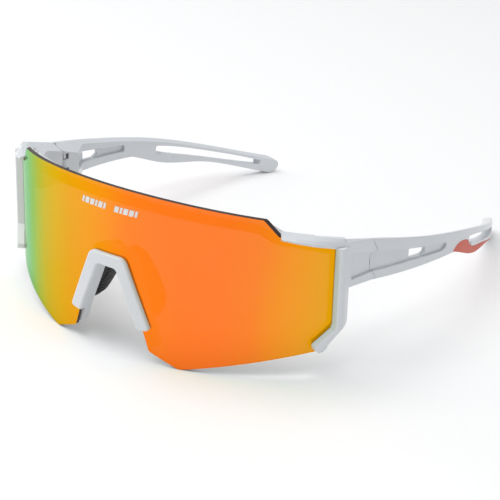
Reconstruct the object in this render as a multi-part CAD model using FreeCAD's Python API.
import FreeCAD, Part
import math
import os

# Wraparound sport sunglasses with a one-piece shield lens, a white half frame and two folding temples.
# Units are millimetres. +Z is up, the lens faces -Y, and +X is the wearer's left. The glasses stand on the
# two lower corners of the lens and the two temple tips, at z = 0.

V = FreeCAD.Vector

# Every shape is moved back by this much as it is saved, so that the middle of the glasses is at Y = 0.
CENTRE_Y = 2.7

# Shield lens: part of an upright cylinder.
LENS_RADIUS = 83.0
LENS_THICKNESS = 1.4
LENS_AXIS_Y = -1.5
LENS_TOP = 57.9
LENS_INNER = LENS_RADIUS - LENS_THICKNESS
LENS_FIT = 0.08

# Front frame: brow bar behind the lens, lips around the lens ends, end pieces.
BROW_DEPTH = 3.4
LIP_RISE = 2.8
RECESS = 0.8
INNER_RECESS_DEPTH = 1.1

# Temples: curved plates that follow one large upright cylinder.
BOW_RADIUS = 158.0
BOW_X = -85.8
BOW_Y = 2.0
TEMPLE_THICKNESS = 3.2
GRIP_DEPTH = 1.5
CREST_INSET = 1.0
CREST_LEAN = 0.5

# Hinge: three steel barrels on a shoulder screw.
HINGE_X = 64.2
HINGE_Y = -33.6
HINGE_MID_Z = 34.4
BARREL_R = 1.6
BARREL_H = 2.0
MIDDLE_BARREL_H = 2.7
WASHER_T = 0.25
AXIAL_PLAY = 0.04
SCREW_R = 0.7
SCREW_PLAY = 0.05
HEAD_R = 1.25
HEAD_H = 0.8
CORE_R = 2.25
CORE_PLAY = 0.2
SKIN = 2.45
SEAM_GAP = 0.14
LEAF_T = 0.9
LEAF_REACH = 5.5
KNUCKLE_END = -27.5
THIN_FROM = -18.5

# Nose piece.
CLIP_PROUD = 1.5
CLIP_ROUND = 0.6
CARRIER_T = 3.2


def polar(radius, degrees, z=0.0):
    """A point at this radius and angle about the lens axis; 0 degrees is straight ahead."""
    angle = math.radians(degrees)
    return V(radius * math.sin(angle), LENS_AXIS_Y - radius * math.cos(angle), z)


def polygon(points):
    return Part.makePolygon(points + [points[0]])


def rounded(points, radii):
    """A closed wire through the points, with each corner rounded to its own radius (0 leaves it sharp)."""
    edges = []
    starts = []
    ends = []
    count = len(points)
    for i in range(count):
        corner = points[i]
        back = (points[i - 1] - corner).normalize()
        ahead = (points[(i + 1) % count] - corner).normalize()
        turn = math.acos(max(-1.0, min(1.0, back.dot(ahead))))
        if radii[i] <= 0 or turn > math.pi - 0.01:
            starts.append(corner)
            ends.append(corner)
            continue
        reach = radii[i] / math.tan(turn / 2)
        first = corner + back * reach
        last = corner + ahead * reach
        middle = (back + ahead).normalize()
        crown = corner + middle * (radii[i] / math.sin(turn / 2) - radii[i])
        starts.append(first)
        ends.append(last)
        edges.append((i, Part.Arc(first, crown, last).toShape()))
    arcs = dict(edges)
    chain = []
    for i in range(count):
        if i in arcs:
            chain.append(arcs[i])
        after = starts[(i + 1) % count]
        if (after - ends[i]).Length > 1e-6:
            chain.append(Part.LineSegment(ends[i], after).toShape())
    return Part.Wire(chain)


def spline(points):
    curve = Part.BSplineCurve()
    curve.interpolate(points)
    return curve.toShape()


def line(a, b):
    return Part.LineSegment(a, b).toShape()


def chain_lines(points):
    return [line(points[i], points[i + 1]) for i in range(len(points) - 1)]


def slab(wire, along):
    return Part.Face(wire).extrude(along)


def ring(inner, outer, low, high):
    centre = V(0, LENS_AXIS_Y, low)
    return Part.makeCylinder(outer, high - low, centre).cut(Part.makeCylinder(inner, high - low, centre))


def mirrored(shape):
    return shape.mirror(V(0, 0, 0), V(1, 0, 0))


def disc(radius, low, high):
    """An upright cylinder on the left hinge axis."""
    return Part.makeCylinder(radius, high - low, V(HINGE_X, HINGE_Y, low))


def box(x0, x1, y0, y1, z0, z1):
    return Part.makeBox(x1 - x0, y1 - y0, z1 - z0, V(x0, y0, z0))


# ---------------------------------------------------------------- lens

FRONT = -95.0
TO_AXIS = V(0, 90, 0)


def xz(points):
    return [V(x, FRONT, z) for x, z in points]


LENS_LEFT = [
    (48.4, 53.8),
    (52.1, 48.4),
    (65.9, 44.6),
    (65.9, 19.0),
    (61.5, 8.85),
    (28.4, 0.6),
    (25.3, 0.0),
    (15.3, 4.3),
    (13.1, 11.0),
    (5.0, 32.6),
]
LENS_CORNERS = [1.2, 0.8, 1.0, 1.0, 0.8, 3.0, 1.2, 1.0, 0.0, 1.6]


def lens_outline():
    right = [(-x, z) for x, z in reversed(LENS_LEFT)]
    points = xz(LENS_LEFT + right)
    radii = LENS_CORNERS + list(reversed(LENS_CORNERS))
    return rounded(points, radii)


def dome_cap():
    """The sliver of lens between its two top corners and the dome line."""
    ends = LENS_TOP - 4.1
    arc = Part.Arc(V(-48.4, FRONT, ends), V(0, FRONT, LENS_TOP), V(48.4, FRONT, ends)).toShape()
    base = chain_lines(xz([(48.4, ends), (47, ends - 4), (-47, ends - 4), (-48.4, ends)]))
    return slab(Part.Wire([arc] + base), TO_AXIS)


def shield_lens():
    flat = slab(lens_outline(), TO_AXIS).fuse(dome_cap())
    return flat.common(ring(LENS_INNER, LENS_RADIUS, -1, 70)).removeSplitter()


def lens_room():
    """The lens with a little play all round, for the slot that holds its ends."""
    grown = lens_outline().makeOffset2D(0.15)
    return slab(grown, TO_AXIS).common(ring(LENS_INNER - LENS_FIT, LENS_RADIUS + LENS_FIT, -1, 70))


# ---------------------------------------------------------------- temple side view

SIDE_X = 40.0
OUTWARD = V(50, 0, 0)


def yz(points):
    return [V(SIDE_X, y, z) for y, z in points]


TEMPLE_TOP = yz([(-36, 41.9), (-20, 37.6), (1.4, 31.9), (20.8, 26.7), (48.6, 17.6), (66.8, 10.9), (77, 7.3)])
TEMPLE_BOTTOM = yz([(75.8, 0.7), (61, 6.4), (47, 11.0), (36, 13.1), (26, 15.8), (18, 19.2), (11, 22.1)])
TEMPLE_BOTTOM_FRONT = yz([(11, 22.1), (-5, 24.2), (-22, 26.1), (-36, 27.7)])
SEAM = [
    (-35.9, 46),
    (-35.7, 41.2),
    (-33.7, 37.7),
    (-35.7, 36.8),
    (-36.4, 34.0),
    (-35.8, 30.7),
    (-34.4, 28.9),
    (-34.5, 24),
]


TEMPLE_TIP = yz([(79.7, 5.6), (80.6, 3.2), (79.2, 0.9)])


def temple_outline():
    """The arm seen from the side, with the domed tip and the swelling under the ear."""
    edges = [
        spline(TEMPLE_TOP),
        spline([TEMPLE_TOP[-1]] + TEMPLE_TIP + [TEMPLE_BOTTOM[0]]),
        spline(TEMPLE_BOTTOM),
        spline(TEMPLE_BOTTOM_FRONT),
        line(TEMPLE_BOTTOM_FRONT[-1], TEMPLE_TOP[0]),
    ]
    return Part.Wire(edges)


def under_crest(points):
    """Everything under a top that has its crest on these points and leans down towards the head."""
    reach = 60
    foot = -70
    top = []
    for point in points:
        crest_x = bow_x(max(point.y, -36), CREST_INSET)
        top.append(V(SIDE_X, point.y, point.z - (crest_x - SIDE_X) * CREST_LEAN))
    ends = [top[-1], V(SIDE_X, top[-1].y, foot), V(SIDE_X, top[0].y, foot), top[0]]
    return slab(Part.Wire([spline(top)] + chain_lines(ends)), V(reach, 0, reach * CREST_LEAN))


def behind_seam(gap):
    """Everything behind the zigzag parting line between end piece and arm, moved back by the gap."""
    points = yz([(y + gap, z) for y, z in SEAM] + [(100, 24), (100, 46)])
    return slab(polygon(points), OUTWARD)


def bow_x(y, inset):
    """X of the outer face of the arm, moved inwards by the inset."""
    return BOW_X + math.sqrt((BOW_RADIUS - inset) ** 2 - (y - BOW_Y) ** 2)


def bow_sheet(inset, thickness, y0, y1):
    """A curved upright plate that follows the arm's bow between two depths."""
    outer = BOW_RADIUS - inset
    inner = outer - thickness
    centre = V(BOW_X, BOW_Y, -5)
    plate = Part.makeCylinder(outer, 60, centre).cut(Part.makeCylinder(inner, 60, centre))
    return plate.common(box(30, 80, y0, y1, -5, 55))


def arm_plan():
    """The arm seen from above: thick at the hinge, thin behind it."""
    rear = bow_sheet(0, TEMPLE_THICKNESS, -40, 90)
    inner_front = HINGE_X - CORE_R
    wedge = [
        V(inner_front, -40, -5),
        V(inner_front, KNUCKLE_END, -5),
        V(bow_x(THIN_FROM, TEMPLE_THICKNESS), THIN_FROM, -5),
        V(bow_x(THIN_FROM, 1.0), THIN_FROM, -5),
        V(bow_x(-28, 1.0), -28, -5),
        V(bow_x(-40, 1.0), -40, -5),
    ]
    return rear.fuse(slab(polygon(wedge), V(0, 0, 60)))


WINDOW = [(-17.4, 32.9), (-8.0, 30.8), (-8.0, 28.9), (-11.2, 27.9), (-17.4, 29.2)]
SLOT_TOP = [(24.8, 22.9), (35, 20.1), (48, 15.7), (62, 10.7), (73.5, 6.2)]
SLOT_LOW = [(73.3, 4.6), (60, 8.6), (47, 12.9), (36, 16.4), (27.5, 19.4)]
# Each recess is listed forward to back along its top edge, then back to front along its bottom edge.
OUTER_RECESS = [(-48.5, 41.0), (-36, 37.3), (-17, 32.9), (0, 29.0), (9, 26.9)]
OUTER_RECESS += [(2, 25.8), (-17, 28.7), (-36, 30.6), (-48.5, 32.2)]
OUTER_RECESS_CORNERS = [0.8, 0, 0, 0, 1.0, 0, 0, 0, 0.8]
INNER_RECESS = [(-27, 35.2), (-17, 32.9), (0, 29.3), (7, 27.9)]
INNER_RECESS += [(7, 25.4), (0, 26.4), (-17, 28.7), (-27, 29.8)]
INNER_RECESS_CORNERS = [0.8, 0, 0, 0.6, 0.6, 0, 0, 0.8]
GRIP_TOP = [(10.2, 22.4), (13.5, 24.0), (19, 23.6), (24.2, 21.3), (27, 18.6), (31, 16.9)]
GRIP_TOP += [(38, 15.0), (50, 10.9), (62, 6.6)]
GRIP_LOW = [(62, 3.0), (40, 8.0), (24, 12), (10.2, 18)]


def slot_hole():
    edges = [
        spline(yz(SLOT_TOP)),
        line(yz(SLOT_TOP)[-1], yz(SLOT_LOW)[0]),
        spline(yz(SLOT_LOW)),
        Part.Arc(yz(SLOT_LOW)[-1], yz([(24.4, 20.4)])[0], yz(SLOT_TOP)[0]).toShape(),
    ]
    return slab(Part.Wire(edges), OUTWARD)


def hinge_levels():
    """Bottom and top of the lower barrel, middle barrel and upper barrel."""
    half = MIDDLE_BARREL_H / 2
    step = WASHER_T + 2 * AXIAL_PLAY
    low_top = HINGE_MID_Z - half - step
    high_low = HINGE_MID_Z + half + step
    middle = (HINGE_MID_Z - half, HINGE_MID_Z + half)
    return (low_top - BARREL_H, low_top), middle, (high_low, high_low + BARREL_H)


def temple_leaf():
    """One barrel with a plate that is moulded into the arm."""
    middle = hinge_levels()[1]
    left = HINGE_X - LEAF_T / 2
    plate = box(left, left + LEAF_T, HINGE_Y, HINGE_Y + LEAF_REACH, middle[0], middle[1])
    leaf = disc(BARREL_R, middle[0], middle[1]).fuse(plate)
    return leaf.cut(disc(SCREW_R + SCREW_PLAY, middle[0] - 1, middle[1] + 1)).removeSplitter()


def front_leaf():
    """A fork of two barrels on one plate that is moulded into the end piece."""
    low, _, high = hinge_levels()
    left = HINGE_X - LEAF_T / 2
    right = HINGE_X + LEAF_T / 2
    root = HINGE_Y - CORE_R - CORE_PLAY - 0.3
    leaf = box(left, right, root - LEAF_REACH, root, low[0], high[1])
    for level in (low, high):
        leaf = leaf.fuse(box(left, right, root, HINGE_Y, level[0], level[1]))
        leaf = leaf.fuse(disc(BARREL_R, level[0], level[1]))
    leaf = leaf.cut(disc(SCREW_R + SCREW_PLAY, low[0] - 1, low[1] + 0.5))
    return leaf.cut(disc(SCREW_R, high[0] - 0.5, high[1] + 1)).removeSplitter()


def hinge_screw():
    """Shoulder screw with a slotted head, put in from below and threaded into the upper barrel."""
    low, _, high = hinge_levels()
    shank = disc(SCREW_R, low[0] - AXIAL_PLAY, high[1])
    head = disc(HEAD_R, low[0] - AXIAL_PLAY - HEAD_H, low[0] - AXIAL_PLAY)
    bottom = low[0] - AXIAL_PLAY - HEAD_H
    slot = box(HINGE_X - HEAD_R, HINGE_X + HEAD_R, HINGE_Y - 0.2, HINGE_Y + 0.2, bottom - 1, bottom + 0.4)
    return shank.fuse(head).cut(slot).removeSplitter()


def hinge_washers():
    low, middle, _ = hinge_levels()
    rings = []
    for base in (low[1] + AXIAL_PLAY, middle[1] + AXIAL_PLAY):
        washer = disc(BARREL_R - 0.1, base, base + WASHER_T)
        rings.append(washer.cut(disc(SCREW_R + SCREW_PLAY, base - 1, base + 1)))
    return Part.makeCompound(rings)


def temple_body():
    """The white arm before its rubber inlay is taken out."""
    arm = arm_plan().common(slab(temple_outline(), OUTWARD))
    rear_end = [V(SIDE_X, 83, 5.2)]
    arm = arm.common(under_crest([V(SIDE_X, -42, 43.5)] + TEMPLE_TOP[:-1] + rear_end))
    # The outer skin runs forward to the seam. Inside it the arm ends in a round core about the hinge axis.
    skin = box(HINGE_X + SKIN - CORE_PLAY + 0.05, 80, -40, HINGE_Y, -5, 60).common(behind_seam(0))
    core = disc(CORE_R, -5, 60).fuse(box(40, 80, HINGE_Y, 90, -5, 60))
    arm = arm.common(skin.fuse(core))
    low, middle, high = hinge_levels()
    for level in (low, high):
        notch = disc(BARREL_R + 0.25, level[0] - 0.12, level[1] + 0.12)
        way_in = box(50, HINGE_X + LEAF_T, HINGE_Y - 4, HINGE_Y + LEAF_T, level[0] - 0.12, level[1] + 0.12)
        arm = arm.cut(notch).cut(way_in)
    gap = (disc(BARREL_R, low[1] + 0.1, middle[0]), disc(BARREL_R, middle[1], high[0] - 0.1))
    arm = arm.cut(gap[0]).cut(gap[1])
    arm = arm.cut(disc(BARREL_R, middle[0], middle[1])).cut(temple_leaf())
    arm = arm.cut(disc(HEAD_R + 0.2, 0, low[0]))
    # Window, recessed panels on both faces, and the long slot behind the ear.
    arm = arm.cut(slab(rounded(yz(WINDOW), [0.5] * 5), OUTWARD))
    panel = slab(rounded(yz(OUTER_RECESS), OUTER_RECESS_CORNERS), OUTWARD)
    arm = arm.cut(panel.common(bow_sheet(-5, 5 + RECESS, -50, 90)))
    inner = slab(rounded(yz(INNER_RECESS), INNER_RECESS_CORNERS), OUTWARD)
    arm = arm.cut(inner.common(inner_recess_room()))
    return arm.cut(slot_hole())


def inner_recess_room():
    """The space inside the arm's inner face, so that the recess follows that face."""
    inner_front = HINGE_X - CORE_R
    near = TEMPLE_THICKNESS - INNER_RECESS_DEPTH
    points = [
        V(30, -40, -5),
        V(inner_front + INNER_RECESS_DEPTH, -40, -5),
        V(inner_front + INNER_RECESS_DEPTH, KNUCKLE_END, -5),
        V(bow_x(THIN_FROM, near), THIN_FROM, -5),
    ]
    front = slab(polygon(points + [V(30, THIN_FROM, -5)]), V(0, 0, 60))
    centre = V(BOW_X, BOW_Y, -5)
    rear = Part.makeCylinder(BOW_RADIUS - near, 60, centre).common(box(30, 80, THIN_FROM, 30, -5, 55))
    return front.fuse(rear)


def grip_region():
    top = spline(yz(GRIP_TOP))
    rest = chain_lines([yz(GRIP_TOP)[-1]] + yz(GRIP_LOW) + [yz(GRIP_TOP)[0]])
    return slab(Part.Wire([top] + rest), OUTWARD)


def temple_grip(body):
    """Rubber inlay moulded flush into the outer lower face of the arm."""
    return body.common(grip_region()).common(bow_sheet(0, GRIP_DEPTH, -40, 90))


# ---------------------------------------------------------------- front frame


def wing_section(inner, outer, z):
    """Plan section of the wing: lip in front of the lens, outer wall, and flange behind the lens.

    The inner edge and the outer wall are turned about the lens axis by their own angles.
    """
    corners = [
        (LENS_RADIUS - 1, 51.2 + inner),
        (LENS_RADIUS + 0.1, 51.2 + inner),
        (LENS_RADIUS + LIP_RISE - 0.3, 51.6 + inner),
        (LENS_RADIUS + LIP_RISE, 51.9 + (inner + outer) / 2),
        (LENS_RADIUS + LIP_RISE, 52.5 + outer),
        (LENS_RADIUS + 2.0, 53.4 + outer),
        (LENS_RADIUS - 0.8, 54.9 + outer),
        (LENS_RADIUS - 3.6, 54.9 + outer),
        (LENS_RADIUS - 3.6, 50.6 + inner),
        (LENS_RADIUS - 1, 50.6 + inner),
    ]
    return polygon([polar(r, a, z) for r, a in corners])


def wing():
    """Upright lip, then the diagonal end that narrows to a blunt tip."""
    levels = [
        (0, 0, 44.4),
        (0, 0, 18.4),
        (-0.3, -0.2, 16.9),
        (-4.4, -3.3, 11.6),
        (-4.3, -4.2, 10.3),
        (-3.8, -4.2, 9.6),
    ]
    sections = [wing_section(*level) for level in levels]
    pieces = [Part.makeLoft(sections[i : i + 2], True, True) for i in range(len(sections) - 1)]
    return pieces[0].fuse(pieces[1:])


def brow_section(degrees, rise, proud):
    """Upright section of the brow: a roof over the lens edge with this rise, and a flange behind.

    A proud of 1 stands the roof out to its full depth in front of the lens.
    """
    low = 47.2 - 0.322 * (degrees - 39.8)
    rear = LENS_INNER - 2.4
    corners = [
        (LENS_RADIUS - 1, low),
        (LENS_RADIUS + 0.1, low),
        (LENS_RADIUS + 1.9 * proud, low + 0.5),
        (LENS_RADIUS + 2.3 * proud, low + 0.3 * rise + 0.4),
        (LENS_RADIUS + 1.5 * proud, low + 0.7 * rise + 0.2),
        (LENS_RADIUS + 0.2, low + rise),
        (LENS_RADIUS - 1.6, low + rise - 0.1),
        (rear, low + rise - 1.2),
        (rear, low - 2.2),
        (LENS_RADIUS - 1, low - 2.2),
    ]
    return polygon([polar(r, degrees, z) for r, z in corners])


def brow_lip():
    stations = [(39.3, 1.7, 0.8), (42.5, 2.4, 1), (46.5, 3.0, 1), (53.4, 3.9, 0.4)]
    sections = [brow_section(*station) for station in stations]
    pieces = [Part.makeLoft(sections[i : i + 2], True, True) for i in range(3)]
    return pieces[0].fuse(pieces[1:])


def brow_bar():
    """The bar behind the top of the lens, from wing to wing."""
    under = Part.Arc(V(-46, FRONT, 49.0), V(0, FRONT, 52.2), V(46, FRONT, 49.0)).toShape()
    over = Part.Arc(V(46.3, FRONT, 51.7), V(0, FRONT, 55.7), V(-46.3, FRONT, 51.7)).toShape()
    end = [(46, 49.0), (50.0, 45.6), (57.5, 43.4), (57.5, 46.7), (50.4, 48.3), (46.3, 51.7)]
    right = chain_lines(xz(end))
    left = chain_lines(xz([(-x, z) for x, z in reversed(end)]))
    outline = Part.Wire([under] + right + [over] + left)
    return slab(outline, TO_AXIS).common(ring(LENS_INNER - BROW_DEPTH, LENS_INNER - LENS_FIT, 40, 60))


def shoulder_corner(y, top, size):
    """Section of the outer top corner that is taken off at this y."""
    outer = 67.9
    low = V(outer + 0.4, y, top - 0.8 * size)
    return polygon([V(outer - size, y, top + 0.1), low, V(outer + 1.6, y, top + 4)])


def shoulder_bevel():
    """Rounds down the outer top corner of the end piece, most of all beside the lens."""
    stations = [(-62, 48.8, 2.4), (-50, 46.6, 2.0), (-38, 42.5, 0.7)]
    return Part.makeLoft([shoulder_corner(*station) for station in stations], True, True)


def end_piece():
    """The side block between wing and hinge, with a recessed panel that lines up with the arm's."""
    inner = HINGE_X - CORE_R
    plan = [
        polar(LENS_INNER - 0.3, 51.2),
        polar(LENS_RADIUS + 1.2, 53.6),
        V(67.8, -48.5, 0),
        V(67.62, -36, 0),
        V(bow_x(-32, 0), -32, 0),
        V(inner, -32, 0),
        V(inner, -44, 0),
        V(59.5, -48.6, 0),
    ]
    block = slab(polygon(plan), V(0, 0, 60))
    side = [(-60, 48.4), (-51, 46.7), (-36, 41.9), (-30, 40.4)]
    side += [(-30, 27.0), (-36, 27.7), (-50, 30.2), (-60, 31.5)]
    block = block.common(slab(polygon(yz(side)), OUTWARD))
    panel = slab(rounded(yz(OUTER_RECESS), OUTER_RECESS_CORNERS), OUTWARD)
    floor = [V(67.05, -60, 0), V(66.8, -36, 0), V(bow_x(-30, RECESS), -30, 0)]
    outside = slab(polygon(floor + [V(80, -30, 0), V(80, -60, 0)]), V(0, 0, 60))
    block = block.cut(panel.common(outside))
    crest = [(-62, 48.9), (-51, 46.7), (-43.5, 44.3), (-36, 41.9), (-28, 39.8)]
    block = block.common(under_crest(yz(crest)))
    block = block.cut(shoulder_bevel())
    # Room for the arm's round core and for the arm to fold inwards.
    block = block.cut(disc(CORE_R + CORE_PLAY, -5, 60))
    block = block.cut(box(50, HINGE_X, HINGE_Y - CORE_R - CORE_PLAY, -20, -5, 60))
    block = block.cut(box(50, HINGE_X + SKIN, HINGE_Y, -20, -5, 60))
    return block.cut(behind_seam(-SEAM_GAP))


def front_frame():
    half = wing().fuse(brow_lip()).fuse(end_piece())
    half = half.cut(front_leaf())
    frame = brow_bar().fuse(half).fuse(mirrored(half))
    return frame.cut(lens_room()).removeSplitter()


# ---------------------------------------------------------------- nose piece

CLIP_OUTER = [(16.2, 12.0), (6.8, 34.8)]
CLIP_INNER = [(11.9, 11.2), (3.7, 30.6)]
NOTCH_SIDE = [(13.0, 11.0), (4.9, 32.45)]
SADDLE_OUTER = [(17.0, 5.4), (7.0, 36.6)]
SADDLE_INNER = [(13.9, 5.4), (11.9, 11.2), (3.7, 30.6)]
# Centre, width from front to back and thickness of the pad, from its top to its foot.
PAD_PATH = [
    (3.9, -76.6, 35.4, 2.4, 1.2),
    (4.2, -76.0, 34.2, 5.0, 2.6),
    (5.0, -74.8, 29.2, 10.0, 3.2),
    (8.9, -74.4, 21.5, 11.2, 3.6),
    (11.6, -75.2, 15.3, 7.8, 2.8),
    (12.2, -75.8, 13.5, 3.4, 1.4),
]
PAD_ALONG = V(0.06, 1, 0).normalize()
PAD_ACROSS = V(0.96, -0.06, -0.27).normalize()


def u_outline(outer, inner, outer_radii, inner_radii):
    """A closed inverted U between an outer and an inner line, each listed from foot to top and mirrored."""
    points = outer + [(-x, z) for x, z in reversed(outer)]
    points += [(-x, z) for x, z in inner] + list(reversed(inner))
    radii = outer_radii + list(reversed(outer_radii)) + inner_radii + list(reversed(inner_radii))
    return rounded(xz(points), radii)


def on_ring(edge, radius):
    """Whether the whole edge lies at this radius from the lens axis."""
    length = edge.LastParameter - edge.FirstParameter
    spots = [edge.valueAt(edge.FirstParameter + length * share) for share in (0, 0.5, 1)]
    return all(abs(math.hypot(spot.x, spot.y - LENS_AXIS_Y) - radius) < 0.01 for spot in spots)


def nose_bridge():
    """White clip: a flange in front of the lens and a web through the notch."""
    flange = slab(u_outline(CLIP_OUTER, CLIP_INNER, [1.0, 3.2], [1.0, 1.6]), TO_AXIS)
    flange = flange.common(ring(LENS_RADIUS + 0.04, LENS_RADIUS + CLIP_PROUD, 0, 50))
    web_outer = [(x - 0.12, z - 0.05) for x, z in NOTCH_SIDE]
    web = slab(u_outline(web_outer, CLIP_INNER, [0, 1.6], [0.4, 1.6]), TO_AXIS)
    web = web.common(ring(LENS_INNER - LENS_FIT, LENS_RADIUS + 0.5, 0, 50))
    crown = LENS_RADIUS + CLIP_PROUD
    front_edges = [edge for edge in flange.Edges if on_ring(edge, crown)]
    return flange.makeFillet(CLIP_ROUND, front_edges).fuse(web).removeSplitter()


def nose_pad_carrier():
    """Saddle behind the lens, with a tab down each side of the notch. The pads sit on its back."""
    saddle = slab(u_outline(SADDLE_OUTER, SADDLE_INNER, [0.8, 4.0], [0.8, 0, 1.6]), TO_AXIS)
    return saddle.common(ring(LENS_INNER - CARRIER_T, LENS_INNER - LENS_FIT - 0.02, 0, 50))


def pad_section(x, y, z, width, thickness):
    """A flat oval across the pad: long from front to back, thinner from side to side."""
    points = []
    for step in range(12):
        angle = 2 * math.pi * step / 12
        reach = PAD_ALONG * (width / 2 * math.cos(angle)) + PAD_ACROSS * (thickness / 2 * math.sin(angle))
        points.append(V(x, y, z) + reach)
    curve = Part.BSplineCurve()
    curve.interpolate(points, True)
    return Part.Wire([curve.toShape()])


def nose_pad():
    return Part.makeLoft([pad_section(*place) for place in PAD_PATH], True, False)


# ---------------------------------------------------------------- export


def save(name, shape):
    shape = shape.copy()
    shape.translate(V(0, CENTRE_Y, 0))
    shape.exportStep("parts/" + name + ".step")
    bounds = shape.BoundBox
    print(
        name,
        "solids", len(shape.Solids),
        "valid", shape.isValid(),
        "volume %.1f" % shape.Volume,
        "x %.1f..%.1f y %.1f..%.1f z %.1f..%.1f"
        % (bounds.XMin, bounds.XMax, bounds.YMin, bounds.YMax, bounds.ZMin, bounds.ZMax),
    )


def save_pair(name, shape):
    save(name + "_left", shape)
    save(name + "_right", mirrored(shape))


os.makedirs("parts", exist_ok=True)
save("shield_lens", shield_lens())
save("front_frame", front_frame())
save("nose_bridge", nose_bridge())
carrier = nose_pad_carrier()
pad = nose_pad()
save("nose_pad_carrier", carrier)
save_pair("nose_pad", pad.cut(carrier))
body = temple_body()
grip = temple_grip(body)
save_pair("temple", body.cut(grip))
save_pair("temple_grip", grip)
save_pair("temple_hinge_leaf", temple_leaf())
save_pair("front_hinge_leaf", front_leaf())
save_pair("hinge_screw", hinge_screw())
save_pair("hinge_washers", hinge_washers())
